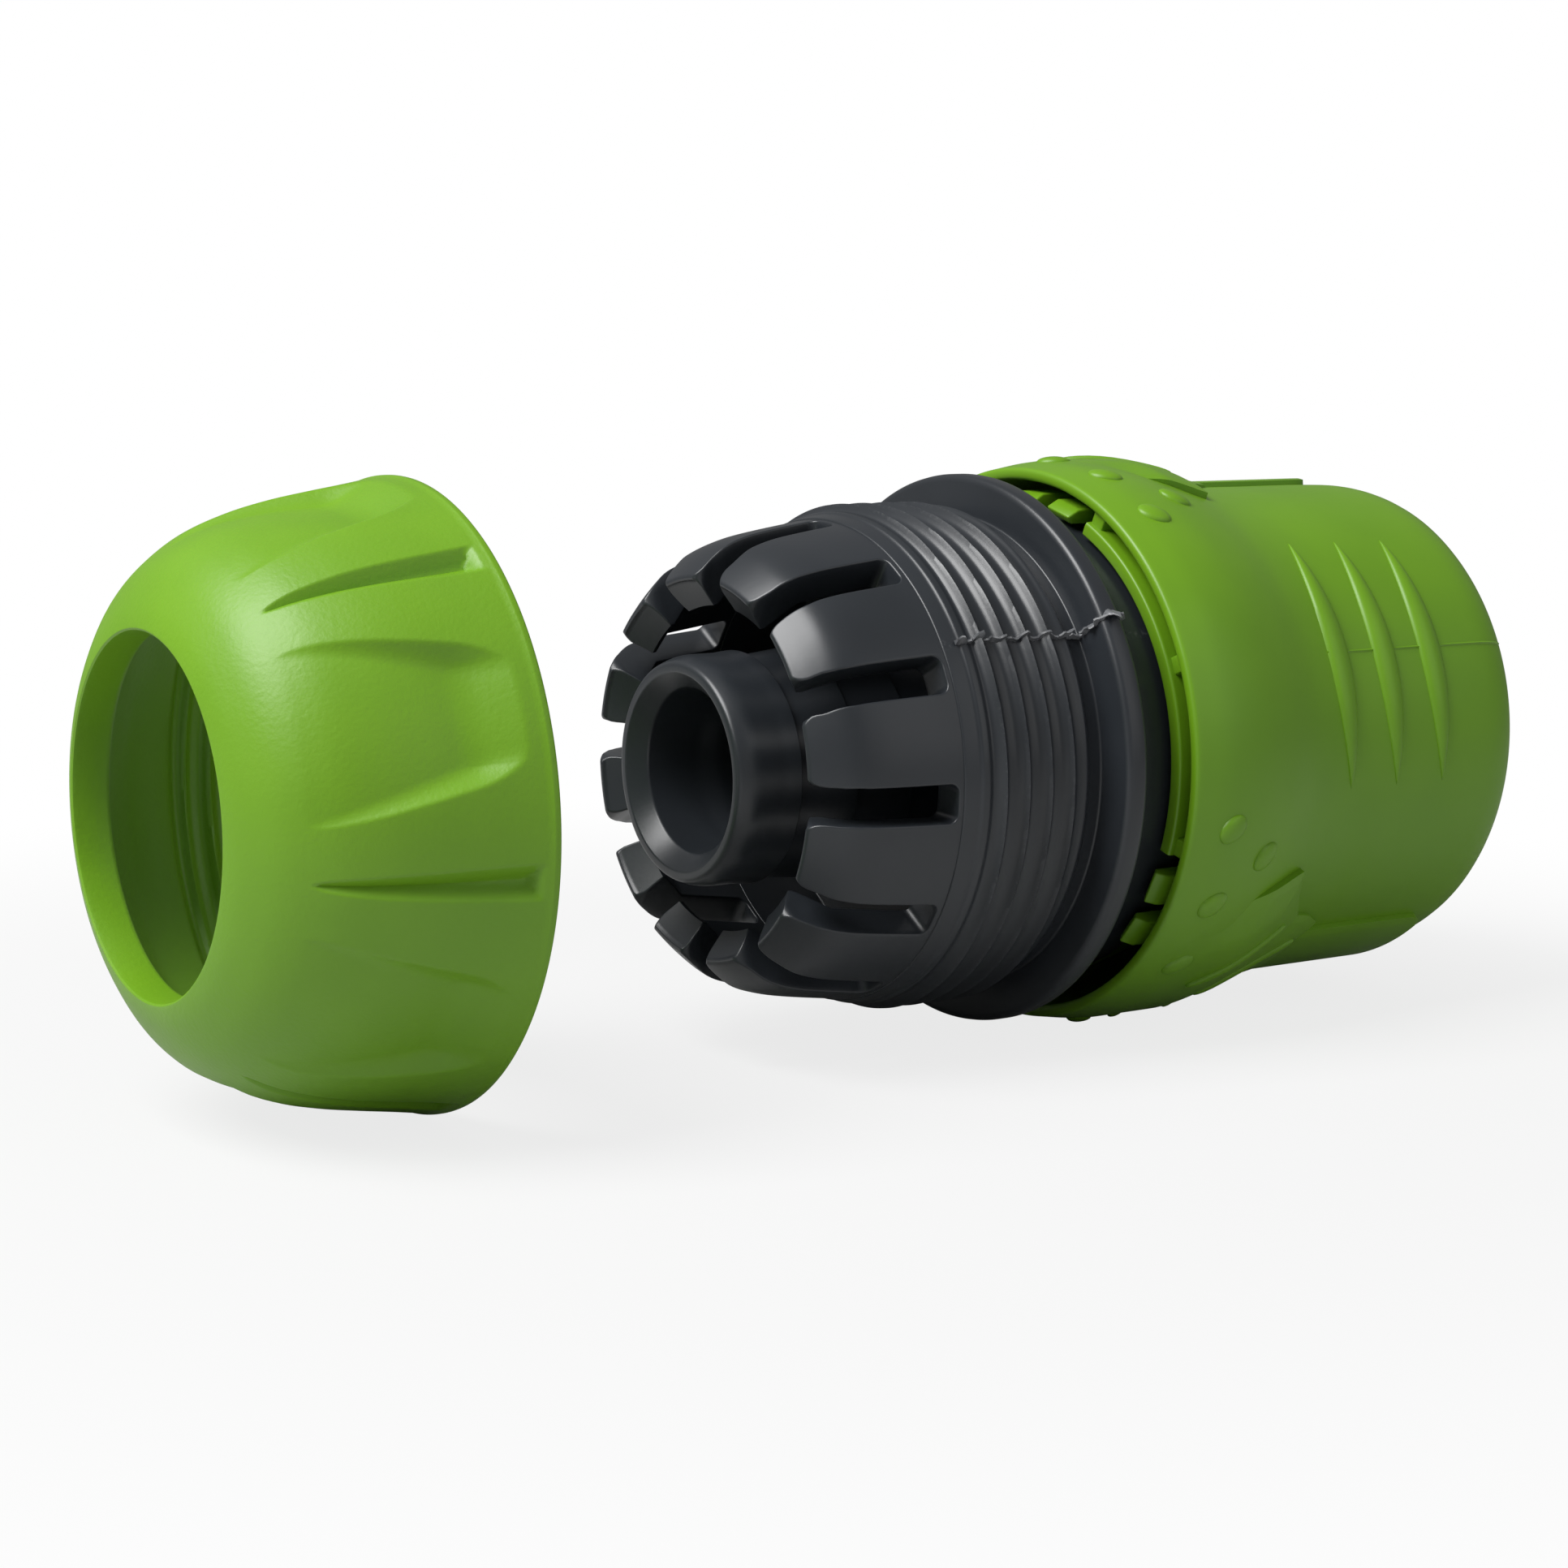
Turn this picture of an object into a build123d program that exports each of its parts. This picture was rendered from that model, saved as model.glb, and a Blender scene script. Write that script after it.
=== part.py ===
# Click-on connector for a half-inch garden hose, with its clamp nut unscrewed and set in front of it.
# The part lies on its side. X runs along its axis from the hose tail's front face towards the socket,
# and +Z is up. Angles about the axis are measured from -Y towards +Z.
import os
from math import cos, radians, sin

from build123d import *

os.makedirs("parts", exist_ok=True)

# Driving dimensions, in millimetres
hose_bore = 12.5  # a half-inch hose
tail_r = hose_bore / 2
tail_bore_r = 4.47
flange_r = 15.5
thread_root_r = 13.5
thread_crest_r = 14.08
thread_pitch = 1.5
claw_count = 12
nut_r = 16.2
nut_length = 14.05
nut_opening_r = 9.04
nut_off = 16.55  # from the tail's front face to the nut's rear rim, with the nut unscrewed
collar_travel = 2.6  # towards the flange, to release the adapter
collar_r = 16.08
collar_end = 49.5
grip_r = 14.3
body_roll = 26.0  # angle of the first claw slot
nut_roll = 22.0  # angle of the first scallop
collar_roll = 22.5  # angle of the middle of the ribbed side

# Hose tail, seen from its front face
tail_root_r = tail_r - 0.3
barb_r = tail_r + 0.1
barb_ends = (3.8, 7.4, 11.0)
tail_front_round = 0.4
bore_chamfer_r = 5.38
bore_chamfer = 0.92
bore_step = 4.0
bore_taper = 0.2
waterway_r = 3.95
barb_run = 1.0  # length of the parallel part of the front barb

# Claw basket and threaded sleeve
claw_tip = 1.4
claw_root = 9.2
slot_end = 8.95
slot_width_tip = 2.0
slot_width_root = 2.1
slot_round = 0.5
slot_inner_r = 7.25  # the cutter starts between the tail and the claws
hose_stop = 14.0  # how deep the hose goes
sleeve_bore_r = 11.4
claw_outside = (
    (claw_root, 13.22),
    (6.0, 12.75),
    (4.5, 12.45),
    (3.2, 11.97),
    (2.2, 11.22),
    (claw_tip, 10.48),
)
# Each claw's inside: its tooth, and the slope behind the tooth
claw_inside = ((1.5, 10.2), (2.7, 8.7), (4.4, 10.4), (claw_root, 11.3))
land_start = 10.1
land_peak = 0.15  # the smooth land in front of the thread rises this much above the thread's root
land_edge = 0.2
thread_start = 11.1
thread_end = 17.2
thread_relief = 0.3  # depth of the groove between the thread and the flange
ridge_foot = 0.62  # half widths of a thread ridge at its foot and at its crest
ridge_crest = 0.16
ridge_sink = 0.2  # how far its foot stands inside the wall it grows from
body_ridge_start = 11.06
body_ridge_length = 5.5
flange_front = 18.4
flange_back = 19.8

# Guide skirt behind the flange, and the socket barrel inside it
skirt_r = 13.25
skirt_wall = 1.5
skirt_end = 24.8
web_back = 16.4
barrel_r = 10.7
seal_barrel_r = 9.7
seal_bore_r = 7.7
seal_bore_start = 19.5
seal_bore_end = 31.0
socket_bore_r = 8.8
socket_mouth = 47.8
mouth_chamfer = 0.9
seal_cone = 2.5  # lengths of the steps in the bore and on the barrel
socket_cone = 1.2
barrel_cone = 1.6
barrel_cone_start = 0.4
edge = 0.45  # usual edge break

# Windows in the barrel, and the locking ring's jaws that sit in them
jaw_count = 4
window_start = 37.8
window_end = 42.3
window_width = 6.4
window_margin = 1.0  # the window cutter passes this far beyond both faces of the barrel's wall
jaw_side_gap = 0.1
jaw_r = 8.0
jaw_ramp = 2.2
jaw_back_r = 9.5
band_start = 36.6
band_end = 43.2
band_inner_r = barrel_r + 0.03
band_outer_r = 12.1
leg_offsets = (-39.0, -26.0, 26.0, 39.0)  # from straight up and straight down on the collar
leg_width = 2.0
leg_wall = 0.85
leg_outer_r = 14.45
leg_root = 34.0  # where each leg leaves the band's outside
leg_bend = 25.5
leg_tip = 22.6
leg_bevel = 0.7
leg_bury = 0.6  # length of each leg's root inside the band

# Release collar
lip_front = flange_back + 0.5 + collar_travel
lip_inner_r = 15.05
lip_round = 0.4
lip_depth = 28.0  # where the wide mouth starts to narrow
shell_bore_r = 12.9
shell_bore_start = 35.5
end_wall = 1.9
end_opening_r = 11.4
ring_inner_r = skirt_r + 0.3
ring_outer_r = 14.35
ring_depth = 27.0
ring_floor = 1.2
ring_half_angle = 42.0
ring_set_back = 0.25
ring_edge = 0.3
web_width = 1.0
web_front = lip_front + 0.7
web_sink = 0.2
web_inset = 2.0  # angle between a ring's end and the middle of its end web
stop_cam_inner_r = 11.6
stop_cam_front_r = 12.8
stop_cam_root_r = 13.8
stop_cam_start = 33.6
stop_cam_end = 36.2
stop_cam_flat = 0.8
stop_cam_width = 3.2

# Raised forms on the collar
bar_height = 0.4
bar_start = 33.0
bar_end = 46.0
bar_width = 9.6
rib_height = 0.4
rib_middles = (34.3, 37.95, 41.6)
rib_reach = 8.0
rib_bow = 1.7
rib_width = 1.9
bar_corner = 2.0
leaf_r = 16.15
leaf_r_rear = 15.2
leaf_fall_start = 30.5
leaf_fall_end = 35.5
leaf_base = 27.3
leaf_length = 9.0
leaf_width = 4.4
leaf_spread = 56.0
drop_long = 1.15
drop_wide = 0.75
drop_sink = 0.8
# Each drop's place along the part and its angle from a pole, positive towards the ribs that face -Y
drop_places = (
    (25.6, 55.6),
    (28.7, 48.4),
    (25.6, 38.9),
    (25.6, 22.2),
    (25.6, -12.5),
    (25.6, -32.5),
    (28.7, -48.4),
    (25.6, -55.6),
)
rest_angle = 10.0  # the two lowest drops stand this far to each side of the lowest line
drop_top_r = (nut_r - drop_wide * sin(radians(rest_angle))) / cos(radians(rest_angle))


def facing(angle, height=0.0, along=0.0):
    # a plane that looks outwards at an angle about the axis, with its own x along the part
    out = Vector(0, -cos(radians(angle)), sin(radians(angle)))
    return Plane(origin=out * height + Vector(along, 0, 0), x_dir=(1, 0, 0), z_dir=out)


def section(angle, along=0.0):
    # a plane through the axis, with its own x along the part and its own y outwards
    side = Vector(0, -sin(radians(angle)), -cos(radians(angle)))
    return Plane(origin=(along, 0, 0), x_dir=(1, 0, 0), z_dir=side)


def spread(count, first):
    return [first + 360.0 / count * k for k in range(count)]


def thread_ridge(foot_r, crest_r, start, length):
    # one right-handed ridge swept along a helix; it faces inwards where its crest is nearer the axis
    with BuildPart() as ridge:
        with BuildLine() as path:
            Helix(thread_pitch, length, foot_r, center=(start, 0, 0), direction=(1, 0, 0))
        with BuildSketch(Plane(origin=path.line @ 0, x_dir=(1, 0, 0), z_dir=path.line % 0)):
            with BuildLine():
                Polyline(
                    (-ridge_foot, 0),
                    (-ridge_crest, crest_r - foot_r),
                    (ridge_crest, crest_r - foot_r),
                    (ridge_foot, 0),
                    close=True,
                )
            make_face()
        sweep(path=path.line, is_frenet=True)
    return ridge.part


turn = Axis((0, 0, 0), (-1, 0, 0))  # the sense in which the angles grow

# Hose-end body: tail, claw basket, threaded sleeve, flange, guide skirt and socket barrel in one moulding
with BuildPart() as hose_end_body:
    with BuildSketch(Plane.XY):
        with BuildLine():
            bore = Polyline(
                (0, bore_chamfer_r),
                (bore_chamfer, tail_bore_r),
                (bore_step, tail_bore_r - bore_taper),
                (bore_step, waterway_r),
                (seal_bore_start - seal_cone, waterway_r),
                (seal_bore_start, seal_bore_r),
                (seal_bore_end, seal_bore_r),
                (seal_bore_end + socket_cone, socket_bore_r),
                (socket_mouth - mouth_chamfer, socket_bore_r),
                (socket_mouth, socket_bore_r + mouth_chamfer),
            )
            barrel = Polyline(
                bore @ 1,
                (socket_mouth, barrel_r - edge),
                (socket_mouth - edge, barrel_r),
                (seal_bore_end + barrel_cone_start + barrel_cone, barrel_r),
                (seal_bore_end + barrel_cone_start, seal_barrel_r),
                (web_back, seal_barrel_r),
                (web_back, skirt_r - skirt_wall),
                (skirt_end, skirt_r - skirt_wall),
                (skirt_end, skirt_r - edge),
                (skirt_end - edge, skirt_r),
                (flange_back, skirt_r),
                (flange_back, flange_r - edge),
            )
            rim_back = RadiusArc(barrel @ 1, (flange_back - edge, flange_r), edge)
            rim = Line(rim_back @ 1, (flange_front + edge, flange_r))
            rim_front = RadiusArc(rim @ 1, (flange_front, flange_r - edge), edge)
            sleeve = Polyline(
                rim_front @ 1,
                (flange_front, thread_root_r - thread_relief),
                (thread_end + thread_relief, thread_root_r - thread_relief),
                (thread_end, thread_root_r),
                (thread_start, thread_root_r),
                (thread_start - thread_relief, thread_root_r + land_peak),
                (land_start + land_edge, thread_root_r + land_peak),
                (land_start, thread_root_r),
                (claw_root, thread_root_r - land_edge),
                claw_outside[0],
            )
            dome = Spline(*claw_outside)
            inside = Polyline(
                dome @ 1,
                *claw_inside,
                (hose_stop, sleeve_bore_r),
                (hose_stop, tail_root_r),
                (barb_ends[2], tail_root_r),
                (barb_ends[2], barb_r),
                (barb_ends[1], tail_root_r),
                (barb_ends[1], barb_r),
                (barb_ends[0], tail_root_r),
                (barb_ends[0], barb_r),
                (barb_ends[0] - barb_run, tail_r),
                (tail_front_round, tail_r),
            )
            nose = RadiusArc(inside @ 1, (0, tail_r - tail_front_round), tail_front_round)
            Line(nose @ 1, bore @ 0)
        make_face()
    revolve(axis=Axis.X)
    for angle in spread(claw_count, body_roll):
        with BuildSketch(facing(angle, slot_inner_r)):
            with BuildLine():
                Polyline(
                    (0, slot_width_tip / 2),
                    (slot_end, slot_width_root / 2),
                    (slot_end, -slot_width_root / 2),
                    (0, -slot_width_tip / 2),
                    close=True,
                )
            slot = make_face()
            fillet(slot.vertices().group_by(Axis((0, 0, 0), (1, 0, 0)))[-1], slot_round)
        extrude(amount=flange_r - slot_inner_r, mode=Mode.SUBTRACT)
    for angle in spread(jaw_count, collar_roll):
        with BuildSketch(facing(angle, socket_bore_r - 2 * window_margin)):
            with Locations(((window_start + window_end) / 2, 0)):
                Rectangle(window_end - window_start, window_width)
        extrude(amount=barrel_r - socket_bore_r + 3 * window_margin, mode=Mode.SUBTRACT)
    add(thread_ridge(thread_root_r - ridge_sink, thread_crest_r, body_ridge_start, body_ridge_length))
hose_end_body.part.label = "hose_end_body"

# Clamp nut: a domed ring with a smooth hose opening, a cone that closes the claws, and a threaded mouth
nut_front = -nut_off - nut_length
nut_outside = (
    (0.12, 9.62),
    (0.7, 10.72),
    (1.5, 11.95),
    (2.5, 12.9),
    (4.0, 13.88),
    (6.0, 14.65),
    (8.0, 15.16),
    (10.0, 15.52),
    (12.0, 15.84),
    (13.3, 16.12),
)
scallop_count = 6
scallop_front = 2.4
scallop_rear = 12.6
scallop_floor = ((2.4, 13.2), (4.5, 13.85), (7.0, 14.35), (9.5, 14.68), (12.25, 14.9))
scallop_front_width = 9.4
scallop_rear_width = 5.2
groove_front = 3.4
groove_rear = 13.1
groove_floor = ((3.4, 13.5), (6.0, 14.15), (9.5, 14.75), (13.1, 15.1))
groove_front_width = 0.7
groove_rear_width = 1.35
nut_thread_r = 14.2
nut_thread_crest_r = 13.8
nut_thread_start = 7.6
nut_ridge_start = 8.7
nut_ridge_length = 3.6
nut_mouth_chamfer = 0.5
rim_start = 13.6
rim_edge = 0.1
recess_margin = 1.0  # how far the recess cutters stand off the dome
rear_wall_rise = 0.5
# The cone that closes the claws, from the nut's mouth towards its opening, and the opening's land
nut_cone = ((7.2, 13.35), (5.6, 12.85), (4.3, 12.3), (2.4, 10.5))
opening_land = (
    (2.3, nut_opening_r + 0.1),
    (2.1, nut_opening_r),
    (0.35, nut_opening_r),
    (0, nut_opening_r + 0.25),
)


def recess(angle, front, rear, front_width, rear_width, floor):
    # a tapering pocket in the dome: its plan is a trapezoid and its floor is a smooth curve
    with BuildPart() as pocket:
        with BuildSketch(facing(angle, nut_opening_r, nut_front)):
            Polygon(
                (front, -front_width / 2),
                (rear, -rear_width / 2),
                (rear, rear_width / 2),
                (front, front_width / 2),
                align=None,
            )
        extrude(amount=nut_r - nut_opening_r + recess_margin)
        with BuildSketch(section(angle, nut_front)):
            with BuildLine():
                curve = Spline(*floor)
                Polyline(
                    curve @ 1,
                    (rear, floor[-1][1] + rear_wall_rise),
                    (rear, nut_r + recess_margin),
                    (front, nut_r + recess_margin),
                    curve @ 0,
                )
            make_face()
        extrude(amount=front_width, both=True, mode=Mode.INTERSECT)
    return pocket.part


scallops = [
    recess(angle, scallop_front, scallop_rear, scallop_front_width, scallop_rear_width, scallop_floor)
    for angle in spread(scallop_count, nut_roll)
]
grooves = [
    recess(angle, groove_front, groove_rear, groove_front_width, groove_rear_width, groove_floor)
    for angle in spread(scallop_count, nut_roll + 180.0 / scallop_count)
]

with BuildPart() as clamp_nut:
    with BuildSketch(section(nut_roll, nut_front)):
        with BuildLine():
            outside = Spline(*nut_outside)
            Polyline(
                outside @ 1,
                (rim_start, nut_r),
                (nut_length - rim_edge, nut_r),
                (nut_length, nut_r - rim_edge),
                (nut_length, nut_thread_r + nut_mouth_chamfer),
                (nut_length - nut_mouth_chamfer, nut_thread_r),
                (nut_thread_start, nut_thread_r),
                *nut_cone,
                *opening_land,
                outside @ 0,
            )
        make_face()
    revolve(axis=Axis.X)
    for pocket in scallops + grooves:
        add(pocket, mode=Mode.SUBTRACT)
    add(
        thread_ridge(
            nut_thread_r + ridge_sink,
            nut_thread_crest_r,
            nut_front + nut_ridge_start,
            nut_ridge_length,
        )
    )
clamp_nut.part.label = "clamp_nut"

# Locking ring: a band on the barrel, jaws that reach into the socket, and spring legs with bevelled tips
collar_poles = (collar_roll + 90, collar_roll + 270)

with BuildPart() as locking_ring:
    with BuildSketch(Plane.XY):
        with Locations(((band_start + band_end) / 2, (band_inner_r + band_outer_r) / 2)):
            Rectangle(band_end - band_start, band_outer_r - band_inner_r)
    revolve(axis=Axis.X)
    for angle in spread(jaw_count, collar_roll):
        with BuildSketch(section(angle)):
            with BuildLine():
                Polyline(
                    (window_start, band_inner_r + jaw_side_gap),
                    (window_end, band_inner_r + jaw_side_gap),
                    (window_end, jaw_back_r),
                    (window_end - jaw_ramp, jaw_r),
                    (window_start, jaw_r),
                    close=True,
                )
            make_face()
        extrude(amount=window_width / 2 - jaw_side_gap, both=True)
    for pole in collar_poles:
        for offset_angle in leg_offsets:
            with BuildSketch(section(pole + offset_angle)):
                with BuildLine():
                    Polyline(
                        (band_start + leg_bury, band_outer_r - leg_wall / 4),
                        (leg_root, band_outer_r),
                        (leg_bend, leg_outer_r),
                        (leg_tip + leg_bevel, leg_outer_r),
                        (leg_tip, leg_outer_r - leg_wall / 2),
                        (leg_tip + leg_bevel / 2, leg_outer_r - leg_wall),
                        (leg_bend, leg_outer_r - leg_wall),
                        (leg_root, band_outer_r - leg_wall),
                        (band_start + leg_bury, band_inner_r + leg_wall / 4),
                        close=True,
                    )
                make_face()
            extrude(amount=leg_width / 2, both=True)
locking_ring.part.label = "locking_ring"

# Release collar: shell with a wide rounded mouth, a guide ring in two arcs, and the raised garden relief
shell_profile = (
    (lip_front + 0.5, 15.83),
    (25.2, collar_r),
    (27.5, 15.98),
    (30.0, 15.5),
    (33.0, 14.72),
    (36.0, 14.35),
    (39.0, grip_r),
)
shoulder_profile = ((46.6, 14.25), (48.3, 13.95), (49.2, 13.35), (collar_end, 12.6))
lip_middle = (lip_front + 0.12, 15.66)

with BuildSketch() as bar_plan:
    with Locations(((bar_end - bar_start) / 2, 0)):
        RectangleRounded(bar_end - bar_start, bar_width, bar_corner)

with BuildSketch() as leaf_plan:
    with BuildLine():
        ThreePointArc((0, 0), (leaf_length / 2, leaf_width / 2), (leaf_length, 0))
        ThreePointArc((leaf_length, 0), (leaf_length / 2, -leaf_width / 2), (0, 0))
    make_face()

with BuildSketch() as rib_plan:
    with BuildLine():
        ThreePointArc((rib_bow, -rib_reach), (0, 0), (rib_bow, rib_reach))
        ThreePointArc((rib_bow, rib_reach), (rib_width, 0), (rib_bow, -rib_reach))
    make_face()


relief_reach = 6.0


def raised(plane, plan, heights):
    # a plan drawn on a plane that faces outwards, cut off by a surface of revolution
    with BuildPart() as relief:
        with BuildSketch(plane):
            add(plan.sketch)
        extrude(amount=relief_reach)
        with BuildSketch(Plane.XY):
            with BuildLine():
                Polyline((lip_front, 0), *heights, (collar_end, 0), close=True)
            make_face()
        revolve(axis=Axis.X, mode=Mode.INTERSECT)
    return relief.part


relief_base = 13.5  # the reliefs start inside the shell's wall
bar_heights = ((lip_front, grip_r + bar_height), (collar_end, grip_r + bar_height))
leaf_heights = (
    (lip_front, leaf_r),
    (leaf_fall_start, leaf_r),
    (leaf_fall_end, leaf_r_rear),
    (collar_end, leaf_r_rear),
)
rib_heights = ((lip_front, grip_r + rib_height), (collar_end, grip_r + rib_height))
reliefs = [raised(facing(pole, relief_base, bar_start), bar_plan, bar_heights) for pole in collar_poles]
for pole in collar_poles:
    for lean in (-leaf_spread, 0, leaf_spread):
        leaf_plane = facing(pole, relief_base, leaf_base).rotated((0, 0, lean))
        reliefs.append(raised(leaf_plane, leaf_plan, leaf_heights))
for side in (collar_roll, collar_roll + 180):
    for middle in rib_middles:
        reliefs.append(raised(facing(side, relief_base, middle), rib_plan, rib_heights))

with BuildPart() as release_collar:
    with BuildSketch(Plane.XY):
        with BuildLine():
            waist = Spline(*shell_profile)
            grip = Line(waist @ 1, shoulder_profile[0])
            shoulder = Spline(*shoulder_profile)
            rim = ThreePointArc((lip_front, lip_inner_r + lip_round), lip_middle, waist @ 0)
            Polyline(shoulder @ 1, (collar_end, 0), (lip_front, 0), rim @ 0)
        make_face()
    revolve(axis=Axis.X)
    for relief in reliefs:
        add(relief)
    with BuildSketch(Plane.XY):
        with BuildLine():
            Polyline(
                (lip_front, 0),
                (lip_front, lip_inner_r + lip_round),
                (lip_front + lip_round, lip_inner_r),
                (lip_depth, lip_inner_r),
                (shell_bore_start, shell_bore_r),
                (collar_end - end_wall, shell_bore_r),
                (collar_end - end_wall, end_opening_r),
                (collar_end - lip_round, end_opening_r),
                (collar_end, end_opening_r + lip_round),
                (collar_end, 0),
                close=True,
            )
        make_face()
    revolve(axis=Axis.X, mode=Mode.SUBTRACT)
    for side in (collar_roll, collar_roll + 180):
        with BuildSketch(section(side - ring_half_angle)):
            with BuildLine():
                Polyline(
                    (lip_front + ring_set_back, ring_inner_r),
                    (ring_depth + ring_floor, ring_inner_r),
                    (ring_depth + ring_floor, lip_inner_r + ring_edge),
                    (ring_depth, lip_inner_r + ring_edge),
                    (ring_depth, ring_outer_r),
                    (lip_front + ring_set_back, ring_outer_r),
                    (lip_front, ring_outer_r - ring_edge),
                    (lip_front, ring_inner_r + ring_set_back),
                    close=True,
                )
            make_face()
        revolve(axis=turn, revolution_arc=2 * ring_half_angle)
        for offset_angle in (web_inset - ring_half_angle, 0, ring_half_angle - web_inset):
            with BuildSketch(section(side + offset_angle)):
                with Locations(((web_front + ring_depth) / 2, (ring_outer_r + lip_inner_r) / 2)):
                    Rectangle(ring_depth - web_front, lip_inner_r - ring_outer_r + 2 * web_sink)
            extrude(amount=web_width / 2, both=True)
    for angle in spread(jaw_count, collar_roll):
        with BuildSketch(section(angle)):
            with BuildLine():
                Polyline(
                    (stop_cam_start, stop_cam_front_r),
                    (stop_cam_end - stop_cam_flat, stop_cam_inner_r),
                    (stop_cam_end, stop_cam_inner_r),
                    (stop_cam_end, relief_base),
                    (stop_cam_start, stop_cam_root_r),
                    close=True,
                )
            make_face()
        extrude(amount=stop_cam_width / 2, both=True)
    for pole, sense in zip(collar_poles, (-1, 1)):
        for place, away in drop_places:
            with BuildSketch(facing(pole + sense * away, collar_r - drop_sink)):
                with Locations((place, 0)):
                    Ellipse(drop_long, drop_wide)
            extrude(amount=drop_top_r - collar_r + drop_sink)
release_collar.part.label = "release_collar"

for piece in (hose_end_body, clamp_nut, locking_ring, release_collar):
    export_step(piece.part, "parts/" + piece.part.label + ".step")
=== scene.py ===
from math import asin, atan2, cos, degrees, hypot, pi, radians, sin

import bmesh
import bpy
from mathutils import Matrix, Vector, noise


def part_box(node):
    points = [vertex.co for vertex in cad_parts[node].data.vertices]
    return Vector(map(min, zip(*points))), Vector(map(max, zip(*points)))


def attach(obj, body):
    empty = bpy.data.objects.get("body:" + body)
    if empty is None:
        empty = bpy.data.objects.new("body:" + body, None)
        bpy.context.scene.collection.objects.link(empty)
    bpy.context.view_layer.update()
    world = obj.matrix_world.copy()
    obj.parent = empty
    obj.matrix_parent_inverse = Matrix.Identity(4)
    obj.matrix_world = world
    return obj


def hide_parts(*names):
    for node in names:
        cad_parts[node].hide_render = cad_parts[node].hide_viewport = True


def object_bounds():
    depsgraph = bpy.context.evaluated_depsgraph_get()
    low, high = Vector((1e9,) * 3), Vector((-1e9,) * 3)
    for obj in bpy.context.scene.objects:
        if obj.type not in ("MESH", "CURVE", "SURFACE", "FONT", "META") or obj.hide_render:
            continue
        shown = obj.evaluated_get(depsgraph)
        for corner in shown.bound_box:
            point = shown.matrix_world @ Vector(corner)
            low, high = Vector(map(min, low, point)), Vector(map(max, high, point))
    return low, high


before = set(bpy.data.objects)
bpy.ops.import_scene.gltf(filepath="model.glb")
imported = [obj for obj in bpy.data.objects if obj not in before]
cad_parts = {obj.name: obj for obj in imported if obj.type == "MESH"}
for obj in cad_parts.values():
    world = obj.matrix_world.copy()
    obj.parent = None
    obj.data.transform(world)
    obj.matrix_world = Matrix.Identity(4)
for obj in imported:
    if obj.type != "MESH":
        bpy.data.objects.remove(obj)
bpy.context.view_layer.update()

# A click-on connector for a half-inch garden hose, with its clamp nut off and set in front of it.
# All sizes are in millimetres. Places run along X from the hose tail's front face, and angles about the
# axis are in degrees, from -Y towards +Z.
mm = 0.001
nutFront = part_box("clamp_nut")[0].x / mm
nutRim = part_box("clamp_nut")[1].z / mm
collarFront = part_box("release_collar")[0].x / mm
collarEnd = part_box("release_collar")[1].x / mm
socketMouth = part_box("hose_end_body")[1].x / mm
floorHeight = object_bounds()[0].z / mm


def easeIn(low, high, value):
    share = min(max((value - low) / (high - low), 0.0), 1.0)
    return share * share * (3.0 - 2.0 * share)


def smoothLine(points):
    # a smooth height over a few (place, height) points
    slopes = []
    for k in range(len(points)):
        before = points[max(k - 1, 0)]
        after = points[min(k + 1, len(points) - 1)]
        slopes.append((after[1] - before[1]) / (after[0] - before[0]))

    def height(place):
        k = 0
        while k < len(points) - 2 and place > points[k + 1][0]:
            k += 1
        (x0, y0), (x1, y1) = points[k], points[k + 1]
        t = min(max((place - x0) / (x1 - x0), 0.0), 1.0)
        rise = y1 - y0
        start = slopes[k] * (x1 - x0)
        end = slopes[k + 1] * (x1 - x0)
        return y0 + start * t + (3 * rise - 2 * start - end) * t * t + (start + end - 2 * rise) * t ** 3

    return height


def straightLine(points):
    # straight runs between a few (place, height) points
    def height(place):
        k = 0
        while k < len(points) - 2 and place > points[k + 1][0]:
            k += 1
        (x0, y0), (x1, y1) = points[k], points[k + 1]
        t = min(max((place - x0) / (x1 - x0), 0.0), 1.0)
        return y0 + (y1 - y0) * t

    return height


def traced(corners, spacing, arcSteps=5):
    # a closed line: each corner is (place, radius, rounding), and straight runs are cut to the spacing, or
    # after a corner with a fourth number to that number
    bends = []
    for k, (place, radius, rounding) in enumerate(corner[:3] for corner in corners):
        here = Vector((place, radius))
        before = Vector(corners[k - 1][:2]) - here
        after = Vector(corners[(k + 1) % len(corners)][:2]) - here
        cut = min(rounding, before.length * 0.48, after.length * 0.48)
        bends.append((here + before.normalized() * cut, here, here + after.normalized() * cut, cut))
    line = []
    for k, (start, here, end, cut) in enumerate(bends):
        steps = arcSteps if cut > 0 else 0
        for step in range(steps + 1):
            t = step / max(steps, 1)
            line.append(start.lerp(here, t).lerp(here.lerp(end, t), t))
        following = bends[(k + 1) % len(bends)][0]
        apart = corners[k][3] if len(corners[k]) > 3 else spacing
        parts = max(int((following - end).length / apart), 1)
        for part in range(1, parts):
            line.append(end.lerp(following, part / parts))
    return line


def placed(place, radius, angle):
    turn = radians(angle)
    return (place * mm, -radius * cos(turn) * mm, radius * sin(turn) * mm)


def newMesh(name, corners, faces, sharpAngle=42):
    # one closed mesh with outward faces, smooth but for its sharp corners
    mesh = bpy.data.meshes.new(name)
    mesh.from_pydata(corners, [], faces)
    work = bmesh.new()
    work.from_mesh(mesh)
    bmesh.ops.remove_doubles(work, verts=work.verts, dist=0.002 * mm)
    bmesh.ops.recalc_face_normals(work, faces=work.faces)
    work.to_mesh(mesh)
    work.free()
    mesh.shade_smooth()
    mesh.set_sharp_from_angle(angle=radians(sharpAngle))
    return mesh


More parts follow.
